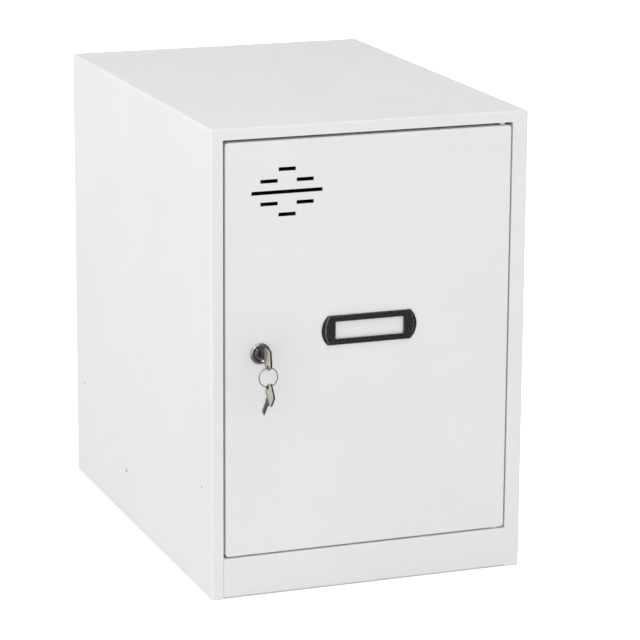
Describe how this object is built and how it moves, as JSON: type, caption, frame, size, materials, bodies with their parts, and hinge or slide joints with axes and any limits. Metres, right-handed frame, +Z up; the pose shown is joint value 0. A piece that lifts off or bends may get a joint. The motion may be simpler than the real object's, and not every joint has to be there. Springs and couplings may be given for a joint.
{
  "type": "locker cabinet",
  "caption": "Small single-compartment steel locker with a hinged flush door, vent slots, a label frame and a keyed cam lock with its keys.",
  "frame": {"origin": "centre of the whole object's footprint, at the floor", "axes": "+Z up, -Y out of the door (the front), +X to the right of someone facing the door, where the hinge is"},
  "size_m": [0.35, 0.5441, 0.5],
  "materials": {
    "powder_coat": "satin white powder coat on steel sheet",
    "zinc_plate": "bright zinc plate",
    "lock_chrome": "nickel-chrome plate on die-cast zinc",
    "nickel": "warm nickel plate",
    "black_plastic": "fine-textured black moulding",
    "white_nylon": "natural nylon",
    "black_rubber": "moulded rubber"
  },
  "bodies": {
    "carcass": {"body_wrapper": "powder_coat", "back_panel": "powder_coat", "floor_panel": "powder_coat", "plinth_panel": "powder_coat", "base_rail_left": "powder_coat", "base_rail_right": "powder_coat", "strike_plate": "zinc_plate", "buffer_upper": "black_rubber", "buffer_lower": "black_rubber", "hinge_bush_top": "white_nylon", "hinge_bush_bottom": "white_nylon"},
    "door": {"door_skin": "powder_coat", "door_stiffener": "powder_coat", "hinge_bracket_top": "zinc_plate", "hinge_bracket_bottom": "zinc_plate", "hinge_pin_top": "zinc_plate", "hinge_pin_bottom": "zinc_plate", "hinge_washer": "white_nylon", "label_holder": "black_plastic", "label_clip_left": "zinc_plate", "label_clip_right": "zinc_plate", "lock_housing": "lock_chrome", "lock_nut": "zinc_plate"},
    "lock_core": {"lock_plug": "lock_chrome", "lock_cam": "zinc_plate", "cam_screw": "zinc_plate"},
    "key": {"key": "nickel"},
    "key_ring": {"key_ring": "nickel"},
    "spare_key": {"spare_key": "nickel"}
  },
  "joints": [
    {"name": "door_swing", "type": "hinge", "parent": "carcass", "child": "door", "pos_m": [0.1473, -0.2222, 0.25], "axis": [0, 0, 1], "range_deg": [0, 110]},
    {"name": "lock_turn", "type": "hinge", "parent": "door", "child": "lock_core", "pos_m": [-0.122, -0.228, 0.263], "axis": [0, 1, 0], "range_deg": [0, 90]},
    {"name": "key_insertion", "type": "slide", "parent": "lock_core", "child": "key", "axis": [0, -1, 0], "range_m": [0, 0.03]},
    {"name": "ring_swing", "type": "hinge", "parent": "key", "child": "key_ring", "pos_m": [-0.122, -0.253, 0.254], "axis": [1, 0, 0], "range_deg": [-45, 0]},
    {"name": "spare_key_swing", "type": "hinge", "parent": "key_ring", "child": "spare_key", "pos_m": [-0.122, -0.253, 0.234], "axis": [1, 0, 0], "range_deg": [-40, 0]}
  ]
}
